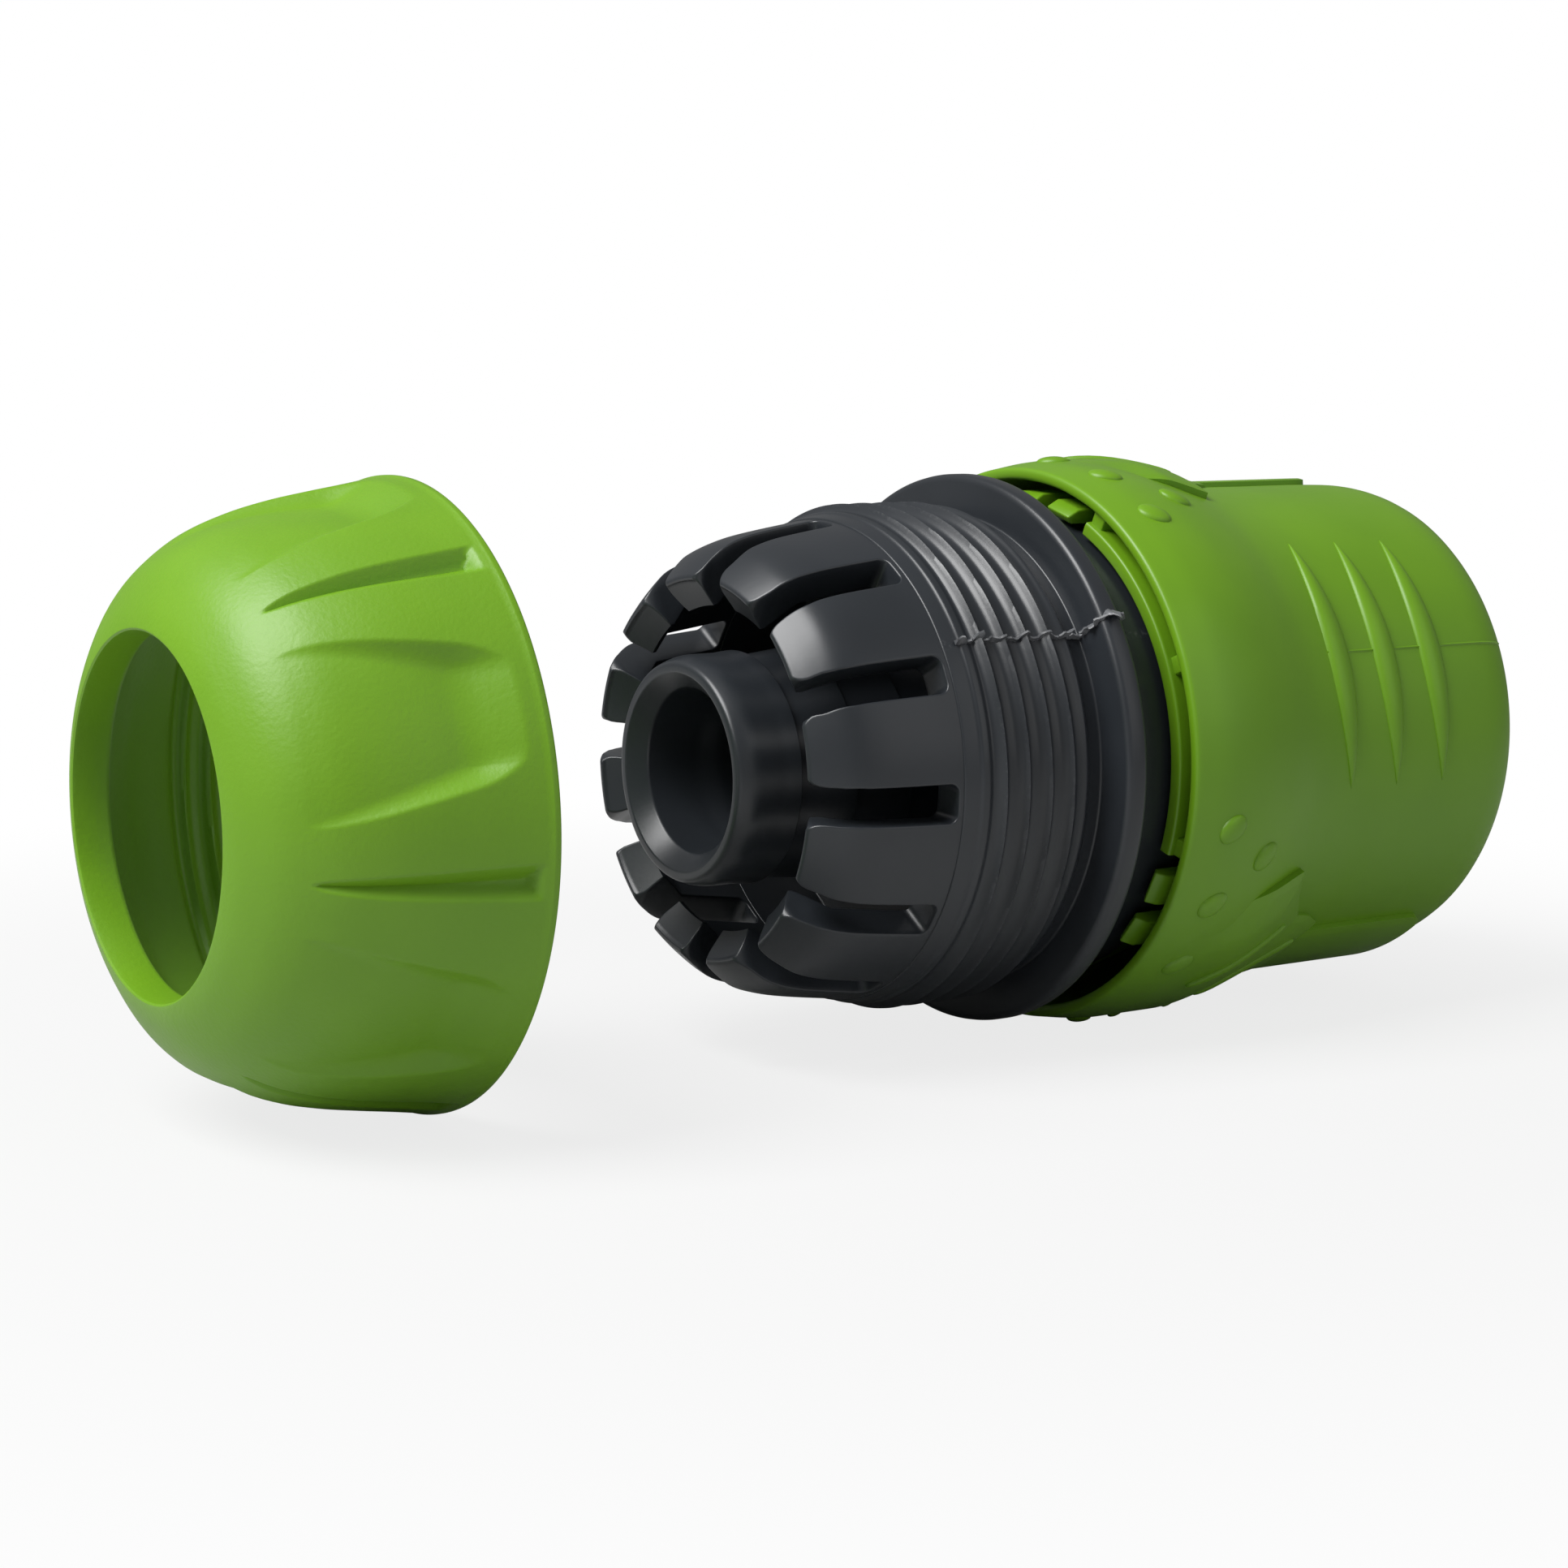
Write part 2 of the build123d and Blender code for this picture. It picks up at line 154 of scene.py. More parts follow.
def spun(name, line, columns, shape=None, sharpAngle=42):
    # a closed line turned once about the axis, at even columns or at a list of angles;
    # shape may move each point at its angle
    angles = columns if isinstance(columns, list) else [360.0 * k / columns for k in range(columns)]
    corners = []
    for place, radius in line:
        for angle in angles:
            point = shape(place, radius, angle) if shape else (place, radius, angle)
            corners.append(placed(*point))
    faces = []
    rows = len(line)
    count = len(angles)
    for row in range(rows):
        upper = (row + 1) % rows * count
        lower = row * count
        for column in range(count):
            beside = (column + 1) % count
            faces.append((lower + column, lower + beside, upper + beside, upper + column))
    return newMesh(name, corners, faces, sharpAngle)


def arcPiece(name, line, first, last, steps, shape=None):
    # a closed line turned through part of a circle, with flat ends
    corners = []
    for step in range(steps + 1):
        angle = first + (last - first) * step / steps
        for place, radius in line:
            point = shape(place, radius, angle) if shape else (place, radius, angle)
            corners.append(placed(*point))
    count = len(line)
    faces = [tuple(range(count)), tuple(range(steps * count, (steps + 1) * count))]
    for step in range(steps):
        for k in range(count):
            beside = (k + 1) % count
            near = step * count
            far = near + count
            faces.append((near + k, near + beside, far + beside, far + k))
    return newMesh(name, corners, faces)


def raisedForm(name, steps, rows, point):
    # a closed form on a curved wall: point(t, w, top) gives its place, radius and angle for t from 0 to 1
    # along it, w from -1 to 1 across it, and its top or its sunken foot
    corners = []
    for top in (True, False):
        for step in range(steps + 1):
            for row in range(rows + 1):
                corners.append(placed(*point(step / steps, 2 * row / rows - 1, top)))
    wide = rows + 1
    level = (steps + 1) * wide
    faces = []
    for step in range(steps):
        for row in range(rows):
            a = step * wide + row
            faces.append((a, a + 1, a + 1 + wide, a + wide))
            faces.append((a + level, a + wide + level, a + 1 + wide + level, a + 1 + level))
    for step in range(steps):
        for a in (step * wide, step * wide + rows):
            faces.append((a, a + wide, a + wide + level, a + level))
    for row in range(rows):
        for a in (row, steps * wide + row):
            faces.append((a, a + 1, a + 1 + level, a + level))
    return newMesh(name, corners, faces, 38)


def block(name, outline, angle, halfWidth):
    # an outline in a plane through the axis, thickened to both sides
    turn = radians(angle)
    across = Vector((0, sin(turn), cos(turn))) * halfWidth * mm
    corners = []
    for side in (-1, 1):
        for place, radius in outline:
            corners.append(tuple(Vector(placed(place, radius, angle)) + across * side))
    count = len(outline)
    faces = [tuple(range(count)), tuple(range(count, 2 * count))]
    for k in range(count):
        beside = (k + 1) % count
        faces.append((k, beside, beside + count, k + count))
    return newMesh(name, corners, faces)


def addPiece(mesh, finish, body, node, rounding=0.0):
    made = bpy.data.objects.new(mesh.name, mesh)
    bpy.context.scene.collection.objects.link(made)
    mesh.materials.clear()
    mesh.materials.append(finish)
    if rounding:
        soften(made, rounding)
    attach(made, body)
    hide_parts(node)
    return made


def applied(made):
    # the object's modifiers go into its mesh
    seen = made.evaluated_get(bpy.context.evaluated_depsgraph_get())
    mesh = bpy.data.meshes.new_from_object(seen)
    made.modifiers.clear()
    before = made.data
    name = before.name
    made.data = mesh
    bpy.data.meshes.remove(before)
    mesh.name = name


def soften(made, width):
    # a small round on every sharp edge
    bevel = made.modifiers.new("edgeRound", "BEVEL")
    bevel.width = width * mm
    bevel.segments = 3
    bevel.limit_method = "ANGLE"
    bevel.angle_limit = radians(38)
    applied(made)
    made.data.shade_smooth()
    made.data.set_sharp_from_angle(angle=radians(50))


# Plastics
greenPlastic = {
    "colour": (0.148, 0.33, 0.008),
    "deeper": (0.132, 0.302, 0.007),
    "roughness": 0.44,
    "grainSize": 0.26,  # mm
    "grainHeight": 0.017,
    "sheen": 0.5,
    "glow": 0.05,
    "glowReach": (0.4, 0.8, 0.08),  # mm
}
greyPlastic = {
    "colour": (0.0215, 0.025, 0.03),
    "deeper": (0.0165, 0.0195, 0.0235),
    "roughness": 0.34,
    "grainSize": 0.3,
    "grainHeight": 0.003,
    "sheen": 0.6,
    # the light speckle colour: partly real scuffs, partly a painted highlight on the lit upper thread crests
    "scuffAndHighlightColour": (0.16, 0.165, 0.17),
}


def link(tree, start, end):
    tree.links.new(start, end)


def noiseNode(tree, where, size, detail):
    made = tree.nodes.new("ShaderNodeTexNoise")
    made.inputs["Scale"].default_value = 1.0 / (size * mm)
    made.inputs["Detail"].default_value = detail
    link(tree, where, made.inputs["Vector"])
    return made


def spreadNode(tree, value, low, high, fromLow=0.0, fromHigh=1.0):
    made = tree.nodes.new("ShaderNodeMapRange")
    made.inputs["From Min"].default_value = fromLow
    made.inputs["From Max"].default_value = fromHigh
    made.inputs["To Min"].default_value = low
    made.inputs["To Max"].default_value = high
    link(tree, value, made.inputs["Value"])
    return made.outputs["Result"]


def mixColour(tree, share, first, second):
    made = tree.nodes.new("ShaderNodeMix")
    made.data_type = "RGBA"
    link(tree, share, made.inputs["Factor"])
    for socket, colour in (("A", first), ("B", second)):
        target = [s for s in made.inputs if s.name == socket and s.type == "RGBA"][0]
        if isinstance(colour, tuple):
            target.default_value = (*colour, 1)
        else:
            link(tree, colour, target)
    return [s for s in made.outputs if s.type == "RGBA"][0]


def mouldedPlastic(name, look, scuffsAndHighlights=False):
    # satin moulded plastic: slow colour drift, fine orange-peel grain, and where asked light speckles that
    # are partly real scuffs and partly painted highlight
    finish = bpy.data.materials.new(name)
    finish.use_nodes = True
    tree = finish.node_tree
    surface = tree.nodes["Principled BSDF"]
    where = tree.nodes.new("ShaderNodeTexCoord").outputs["Object"]
    drift = noiseNode(tree, where, 9.0, 2.0)
    colour = mixColour(tree, spreadNode(tree, drift.outputs["Fac"], 0.0, 1.0, 0.35, 0.65),
                       look["colour"], look["deeper"])
    grain = noiseNode(tree, where, look["grainSize"], 2.0)
    patches = noiseNode(tree, where, 3.0, 3.0)
    roughness = spreadNode(tree, patches.outputs["Fac"], look["roughness"] - 0.05, look["roughness"] + 0.06)
    # light speckles where the mesh attribute asks: real scuffs, and painted highlight where the thread faces
    # the light
    if scuffsAndHighlights:
        speckle = noiseNode(tree, where, 0.22, 4.0)
        wearAndHighlightAttribute = tree.nodes.new("ShaderNodeAttribute")
        wearAndHighlightAttribute.attribute_name = "wearAndHighlight"
        scuffAndHighlightShare = tree.nodes.new("ShaderNodeMath")
        scuffAndHighlightShare.operation = "MULTIPLY"
        link(tree, spreadNode(tree, speckle.outputs["Fac"], 0.0, 1.0, 0.52, 0.68), scuffAndHighlightShare.inputs[0])
        link(tree, wearAndHighlightAttribute.outputs["Fac"], scuffAndHighlightShare.inputs[1])
        colour = mixColour(tree, scuffAndHighlightShare.outputs["Value"], colour, look["scuffAndHighlightColour"])
    link(tree, colour, surface.inputs["Base Color"])
    link(tree, roughness, surface.inputs["Roughness"])
    surface.inputs["IOR"].default_value = 1.49
    surface.inputs["Specular IOR Level"].default_value = look["sheen"]
    if "glow" in look:
        surface.inputs["Subsurface Weight"].default_value = look["glow"]
        surface.inputs["Subsurface Radius"].default_value = look["glowReach"]
        surface.inputs["Subsurface Scale"].default_value = mm
    bump = tree.nodes.new("ShaderNodeBump")
    bump.inputs["Strength"].default_value = 1.0
    bump.inputs["Distance"].default_value = look["grainHeight"] * mm
    link(tree, grain.outputs["Fac"], bump.inputs["Height"])
    link(tree, bump.outputs["Normal"], surface.inputs["Normal"])
    return finish


smoothGreen = {**greenPlastic, "grainHeight": 0.003, "roughness": 0.4}
nutFinish = mouldedPlastic("nutGreen", greenPlastic)
collarFinish = mouldedPlastic("collarGreen", smoothGreen)
ringFinish = mouldedPlastic("ringGreen", smoothGreen)
bodyFinish = mouldedPlastic("bodyGrey", greyPlastic, scuffsAndHighlights=True)
flashGrey = {**greyPlastic, "colour": (0.16, 0.165, 0.175), "deeper": (0.07, 0.073, 0.079)}
flashFinish = mouldedPlastic("flashGrey", flashGrey)
print("plastics made")

# Clamp nut
nut = {
    "dome": ((0.0, 9.3), (0.7, 10.72), (1.5, 11.95), (2.5, 12.9), (4.0, 13.88), (6.0, 14.65),
             (8.0, 15.16), (10.0, 15.52), (12.0, 15.84), (14.05, 16.2)),
    "opening": 9.04,
    "scallops": 6,
    "firstScallop": 22.0,
    "scallopFront": 2.6,
    "scallopRear": 12.7,
    "scallopDepth": 1.1,
    "halfFront": 19.5,  # degrees
    "halfRear": 11.0,
    "corner": 1.1,
    "wallSlope": 0.9,
    "rearSlope": 0.42,
    "grooveFront": 2.9,
    "grooveRear": 13.15,
    "grooveDepth": 0.75,
    "grooveWide": 1.8,
    "grooveSlope": 0.95,
    "thread": 14.2,
    "threadRise": 0.45,
    "threadStart": 7.9,
    "threadEnd": 13.4,
    "pitch": 1.5,
    # mesh columns over one scallop and one groove: (from, to, count), in degrees from a scallop's middle
    "columns": ((0, 9, 7), (9, 21, 28), (21, 25.5, 5), (25.5, 34.5, 28), (34.5, 39, 5), (39, 51, 28),
                (51, 60, 7)),
    "rowSpacing": 0.19,
}


def nutShape():
    dome = smoothLine(nut["dome"])
    length = nut["dome"][-1][0]
    step = 360.0 / nut["scallops"]

    def softer(first, second, blend):
        # the smaller of two depths, with a small round where they meet
        gap = max(blend - abs(first - second), 0) / blend
        return min(first, second) - gap * gap * blend / 4

    def cutDepth(u, angle):
        # how far the scallops and grooves sink the dome at a place and an angle
        away = (angle - nut["firstScallop"] + step / 2) % step - step / 2
        radius = dome(u)
        share = (u - nut["scallopFront"]) / (nut["scallopRear"] - nut["scallopFront"])
        half = nut["halfFront"] + (nut["halfRear"] - nut["halfFront"]) * share
        sideways = (half - abs(away)) * pi / 180 * radius
        behind = (nut["scallopRear"] - u) * nut["rearSlope"]
        corner = nut["corner"]
        if sideways < corner and behind < corner:
            inside = corner - hypot(corner - sideways, corner - behind)
        else:
            inside = min(sideways, behind)
        sunk = 0.0
        if share > 0 and inside > 0:
            crown = radius * (1 / cos(radians(abs(away))) - 1) * 0.25 * share
            depth = nut["scallopDepth"] * share ** 0.85
            sunk = max(softer(max(depth - crown, 0.5 * depth), inside * nut["wallSlope"], 0.4), 0)
        away = (angle - nut["firstScallop"]) % step - step / 2
        share = (u - nut["grooveFront"]) / (nut["grooveRear"] - nut["grooveFront"])
        if 0 < share < 1:
            half = nut["grooveWide"] / 2 * share ** 0.42
            wall = (half - abs(away * pi / 180 * radius)) * nut["grooveSlope"]
            end = (nut["grooveRear"] - u) * 2.0
            sunk = max(sunk, softer(softer(wall, nut["grooveDepth"], 0.2), end, 0.1))
        return sunk

    def shape(place, radius, angle):
        u = place - nutFront
        if radius > dome(min(u, length)) - 0.04 and 0.3 < u < length - 0.4:
            radius -= cutDepth(u, angle)
        elif nut["threadStart"] < u < nut["threadEnd"] and radius > nut["thread"] - 0.4:
            turns = (u + nut["pitch"] * angle / 360.0) / nut["pitch"]
            crest = 0.5 + 0.5 * cos(2 * pi * turns)
            fadeIn = easeIn(nut["threadStart"], nut["threadStart"] + 0.7, u)
            fadeOut = easeIn(nut["threadEnd"], nut["threadEnd"] - 0.7, u)
            radius -= nut["threadRise"] * crest ** 2.2 * fadeIn * fadeOut
        return place, radius, angle

    apart = nut["rowSpacing"]
    outside = [(row * apart, dome(row * apart), 0) for row in range(2, int(length / apart) - 1)]
    inside = [
        (length - 0.35, nutRim, 0.05),
        (length, nutRim, 0.14),
        (length, nut["thread"] + 0.55, 0.2),
        (length - 0.5, nut["thread"], 0.2, 0.13),
        (7.7, nut["thread"], 0.2),
        (7.2, 13.35, 0.25),
        (5.6, 12.85, 0.5),
        (4.3, 12.3, 0.6),
        (2.45, 10.55, 0.4),
        (2.2, nut["opening"], 0.3),
        (0.0, nut["opening"], 0.32),
    ]
    line = traced([(nutFront + corner[0], *corner[1:]) for corner in outside + inside], 0.6, 3)
    angles = []
    for k in range(nut["scallops"]):
        for first, last, count in nut["columns"]:
            for column in range(count):
                angles.append(nut["firstScallop"] + step * k + first + (last - first) * column / count)
    return spun("nutShell", line, angles, shape)


addPiece(nutShape(), nutFinish, "nut", "clamp_nut")
print("clamp nut made")

# Claw basket: twelve claws, their slots and the band they grow from
basket = {
    "claws": 12,
    "firstSlot": 26.0,
    "tip": 1.4,
    "slotEnd": 8.95,
    "seam": 9.2,
    "slotTip": 1.96,
    "slotRoot": 2.08,
    "slotRound": 0.5,
    "edge": 0.1,
    "tipCorner": 0.3,
    "cornerReach": 0.6,
    "ragged": 0.04,
    "outside": ((1.4, 10.48), (2.2, 11.22), (3.2, 11.97), (4.5, 12.45), (6.0, 12.75), (9.2, 13.22)),
    "inside": ((1.4, 10.2), (1.5, 10.2), (2.7, 8.7), (4.4, 10.4), (9.2, 11.3)),
}


def basketMesh():
    outer = smoothLine(basket["outside"])
    inner = straightLine(basket["inside"])
    tip, slotEnd, seam, edge = (basket[k] for k in ("tip", "slotEnd", "seam", "edge"))
    bend = basket["slotRound"]
    halfRoot = basket["slotRoot"] / 2
    halfTip = basket["slotTip"] / 2
    pitch = 360.0 / basket["claws"]
    straight = slotEnd - bend

    def slotHalf(place):
        share = (place - tip) / (slotEnd - tip)
        corner = max(1 - (place - tip) / basket["cornerReach"], 0)
        return halfTip + (halfRoot - halfTip) * share + basket["tipCorner"] * corner ** 2.4

    # one side of a slot, from the claw's tip to the middle of the slot's end:
    # each stop is the slot's edge, the matching point of the frame round it, and the tip's inset
    stops = []
    for turn in (90, 60, 30):
        lift = edge * (1 - sin(radians(turn)))
        stops.append((tip + lift, None, tip + lift, pitch / 2, edge * (1 - cos(radians(turn)))))
    sideStops = 26
    for k in range(sideStops + 1):
        place = tip + edge + (straight - tip - edge) * (k / sideStops) ** 1.25
        stops.append((place, None, place, pitch / 2, 0))
    arcStops = 8
    for k in range(1, arcStops + 1):
        turn = radians(90 * k / arcStops)
        y = halfRoot - bend * (1 - cos(turn))
        if k <= arcStops / 2:
            far = (straight + (seam - straight) * k / (arcStops / 2), pitch / 2)
        else:
            share = (k - arcStops / 2) / (arcStops / 2)
            near = degrees((halfRoot - bend) / outer(seam))
            far = (seam, pitch / 2 + (near - pitch / 2) * share)
        stops.append((straight + bend * sin(turn), y, far[0], far[1], 0))
    for k in range(1, 4):
        y = (halfRoot - bend) * (1 - k / 3)
        stops.append((slotEnd, y, seam, degrees(y / outer(seam)), 0))

    # the layers go over the outside to the slot's edge, down its wall and back along the inside
    layers = [(share, 0.0, 0.0) for share in (1, 0.85, 0.68, 0.5, 0.34, 0.2, 0.09, 0.03)]
    layers += [(0.0, edge * (1 - sin(radians(t))), edge * (1 - cos(radians(t)))) for t in (0, 30, 60, 90)]
    walls = [(0.0, 0.0, share) for share in (0.2, 0.4, 0.6, 0.8)]
    half = len(layers)
    corners = []
    faces = []

    def gridPoint(slot, sign, stop, layer):
        place, y, farPlace, farAngle, inset = stop
        if y is None:
            rough = noise.noise(Vector((place * 1.7, slot * 5.1 + sign, 3.3)))
            y = slotHalf(place) + inset + basket["ragged"] * rough * (1 - easeIn(tip, tip + 4, place)) * 2
        inwards = False
        if layer < half:
            share, off, down = layers[layer]
        elif layer < half + len(walls):
            share, off, down = 0.0, 0.0, None
            part = walls[layer - half][2]
        else:
            share, off, down = layers[2 * half + len(walls) - 1 - layer]
            inwards = True
        radius = outer(place)
        reach = hypot(farPlace - place, radians(farAngle) * radius - y)
        q = (edge + share * (reach - edge) if share else off) / reach
        s = place + (farPlace - place) * q
        high = outer(s) - inset
        low = inner(s) + inset
        if down is None:
            depth = (edge + part * (high - low - 2 * edge)) / (high - low)
        else:
            depth = down / (high - low)
        if inwards:
            depth = 1 - depth
        rho = high + (low - high) * depth
        near = degrees(asin(min(y / rho, 1)))
        angle = near + (farAngle - near) * q
        return placed(s, rho, basket["firstSlot"] + slot * pitch + sign * angle)

    depthCount = 2 * half + len(walls)
    for slot in range(basket["claws"]):
        for sign in (-1, 1):
            base = len(corners)
            for stop in stops:
                for layer in range(depthCount):
                    corners.append(gridPoint(slot, sign, stop, layer))
            for row in range(len(stops) - 1):
                for layer in range(depthCount - 1):
                    a = base + row * depthCount + layer
                    quad = (a, a + 1, a + 1 + depthCount, a + depthCount)
                    faces.append(quad if sign > 0 else quad[::-1])
            for layer in range(depthCount // 2 - 1):
                a = base + layer
                b = base + depthCount - 1 - layer
                quad = (a, b, b - 1, a + 1)
                faces.append(quad if sign > 0 else quad[::-1])
    return newMesh("clawBasket", corners, faces, 50)


addPiece(basketMesh(), bodyFinish, "hose_end", "hose_end_body")
print("claw basket made")

# Hose tail, threaded sleeve with its flange and guide skirt, and socket barrel
body = {
    "tail": 6.25,
    "tailRoot": 5.95,
    "barb": 6.35,
    "barbEnds": (3.8, 7.4, 11.0),
    "chamfer": (0.92, 5.38),  # depth, and radius at the front face
    "tailBore": 4.47,
    "boreStep": (4.0, 4.27),  # where the bore's step starts, and its radius there
    "boreStepEnd": 5.2,
    "waterway": 3.95,
    "hoseStop": 14.0,
    "sleeveBore": 11.4,
    "threadRoot": 13.5,
    "threadRise": 0.64,
    "threadStart": 10.9,
    "threadEnd": 17.3,
    "threadRows": 0.08,
    "pitch": 1.5,
    "crestAt": 11.3,
    "flange": 15.5,
    "flangeFront": 18.4,
    "flangeBack": 19.8,
    "skirt": 13.25,
    "skirtInner": 11.75,
    "skirtEnd": 24.8,
    "webBack": 16.4,
    "sleeveColumns": 432,
    "sealBore": 7.7,
    "sealStart": 19.5,
    "sealEnd": 31.0,
    "socketBore": 8.8,
    "socketStart": 32.2,
    "barrel": 10.7,
    "barrelFront": 16.0,
    "hub": 9.7,
    "flashAngle": 32.6,
}
jaws = {"count": 4, "first": 22.5, "start": 37.8, "end": 42.3, "width": 6.4, "reach": 8.0, "gap": 0.1}


def tailMesh():
    b = body
    corners = [
        (0.0, b["chamfer"][1], 0.07),
        (0.0, b["tail"] - 0.35, 0.3),
        (0.9, b["tail"], 0.6),
        (b["barbEnds"][0] - 1.0, b["tail"], 0.3),
        (b["barbEnds"][0], b["barb"], 0.06),
        (b["barbEnds"][0] + 0.02, b["tailRoot"], 0.1),
        (b["barbEnds"][1], b["barb"], 0.06),
        (b["barbEnds"][1] + 0.02, b["tailRoot"], 0.1),
        (b["barbEnds"][2], b["barb"], 0.06),
        (b["barbEnds"][2] + 0.02, b["tailRoot"], 0.1),
        (b["hoseStop"] + 2.0, b["tailRoot"], 0),
        (b["hoseStop"] + 2.0, b["waterway"], 0),
        (b["boreStepEnd"], b["waterway"], 0.3),
        (*b["boreStep"], 0.3),
        (b["chamfer"][0], b["tailBore"], 0.12),
    ]
    return spun("hoseTail", traced(corners, 0.8), 144)


def sleeveMesh():
    b = body
    line = traced([
        (basket["seam"], b["sleeveBore"] - 0.12, 0.1),
        (basket["seam"], 13.3, 0.1),
        (basket["seam"] + 0.9, 13.46, 0.1),
        (basket["seam"] + 1.05, 13.6, 0.08),
        (b["threadStart"] - 0.3, 13.62, 0.1, 0.1),
        (b["threadStart"], b["threadRoot"], 0.1, b["threadRows"]),
        (b["threadEnd"], b["threadRoot"], 0.2),
        (b["threadEnd"] + 0.2, b["threadRoot"] - 0.3, 0.1),
        (b["flangeFront"], b["threadRoot"] - 0.3, 0.15),
        (b["flangeFront"], b["flange"], 0.42),
        (b["flangeBack"], b["flange"], 0.42),
        (b["flangeBack"], b["skirt"], 0.12),
        (b["skirtEnd"], b["skirt"], 0.4),
        (b["skirtEnd"], b["skirtInner"], 0.2),
        (b["webBack"], b["skirtInner"], 0.3),
        (b["webBack"], 5.5, 0),
        (b["hoseStop"], 5.5, 0),
        (b["hoseStop"], b["sleeveBore"], 0.2),
    ], 0.9, 3)

    def shape(place, radius, angle):
        # the screw thread: narrow crests between hollow valleys, with a gentle start and end;
        # the mesh rows nearest a crest are drawn onto it
        if b["threadStart"] - 0.4 < place < b["threadEnd"] + 0.2 and radius > 13.1:
            turns = (place - b["crestAt"] + b["pitch"] * (angle - b["flashAngle"]) / 360.0) / b["pitch"]
            off = (turns + 0.5) % 1.0 - 0.5
            draw = off * max(1 - abs(off) * b["pitch"] / b["threadRows"], 0)
            place -= draw * b["pitch"]
            crest = max(1 - hypot(2 * (off - draw), 0.05), 0) ** 3.2
            fadeIn = easeIn(b["threadStart"] - 0.4, b["threadStart"] + 0.2, place)
            fadeOut = easeIn(b["threadEnd"] + 0.1, b["threadEnd"] - 0.5, place)
            radius += b["threadRise"] * crest * fadeIn * fadeOut
        return place, radius, angle

    mesh = spun("threadedSleeve", line, b["sleeveColumns"], shape)
    # the share of light speckle on the thread: rubbed crests and the flash line are real wear, and the
    # stronger share on the upper side is painted highlight
    wearAndHighlight = mesh.attributes.new("wearAndHighlight", "FLOAT", "POINT")
    for k, corner in enumerate(mesh.vertices):
        place, y, z = (value / mm for value in corner.co)
        radius = hypot(y, z)
        angle = degrees(atan2(z, -y)) % 360
        high = 0
        if place < b["threadEnd"]:
            high = easeIn(0.6, 0.85, (radius - b["threadRoot"]) / b["threadRise"])
        near = 1 - easeIn(0, 0.35, abs(angle - b["flashAngle"]) * pi / 180 * radius)
        # the upper side, where the key lamp falls, gets more: painted highlight
        upper = 0.3 + 0.7 * easeIn(28, 36, angle) * easeIn(85, 60, angle)
        wearAndHighlight.data[k].value = min(high * upper * 0.45 + near * 0.3, 1.0)
    return mesh


def barrelMesh():
    b = body
    corners = [
        (b["barrelFront"], b["waterway"], 0),
        (b["barrelFront"] + 1.0, b["waterway"], 0.3),
        (b["sealStart"], b["sealBore"], 0.4),
        (b["sealEnd"], b["sealBore"], 0.3),
        (b["socketStart"], b["socketBore"], 0.3),
        (socketMouth - 0.9, b["socketBore"], 0.3),
        (socketMouth, b["socketBore"] + 0.8, 0.15),
        (socketMouth, b["barrel"], 0.4),
        (33.0, b["barrel"], 0.3),
        (31.4, b["hub"], 0.3),
        (b["barrelFront"], b["hub"], 0),
    ]
    barrel = bpy.data.objects.new("barrelBlank", spun("socketBarrel", traced(corners, 3.0), 144))
    bpy.context.scene.collection.objects.link(barrel)
    for k in range(jaws["count"]):
        low, high = b["socketBore"] - 1.5, b["barrel"] + 1.0
        opening = [(jaws["start"], low), (jaws["end"], low), (jaws["end"], high), (jaws["start"], high)]
        angle = jaws["first"] + 360 / jaws["count"] * k
        cutterMesh = block("windowCutter", opening, angle, jaws["width"] / 2)
        cutter = bpy.data.objects.new("windowCutter", cutterMesh)
        bpy.context.scene.collection.objects.link(cutter)
        cut = barrel.modifiers.new("window", "BOOLEAN")
        cut.operation = "DIFFERENCE"
        cut.object = cutter
        bpy.context.view_layer.update()
        applied(barrel)
        bpy.data.objects.remove(cutter)
    mesh = barrel.data
    bpy.data.objects.remove(barrel)
    mesh.shade_smooth()
    mesh.set_sharp_from_angle(angle=radians(40))
    return mesh


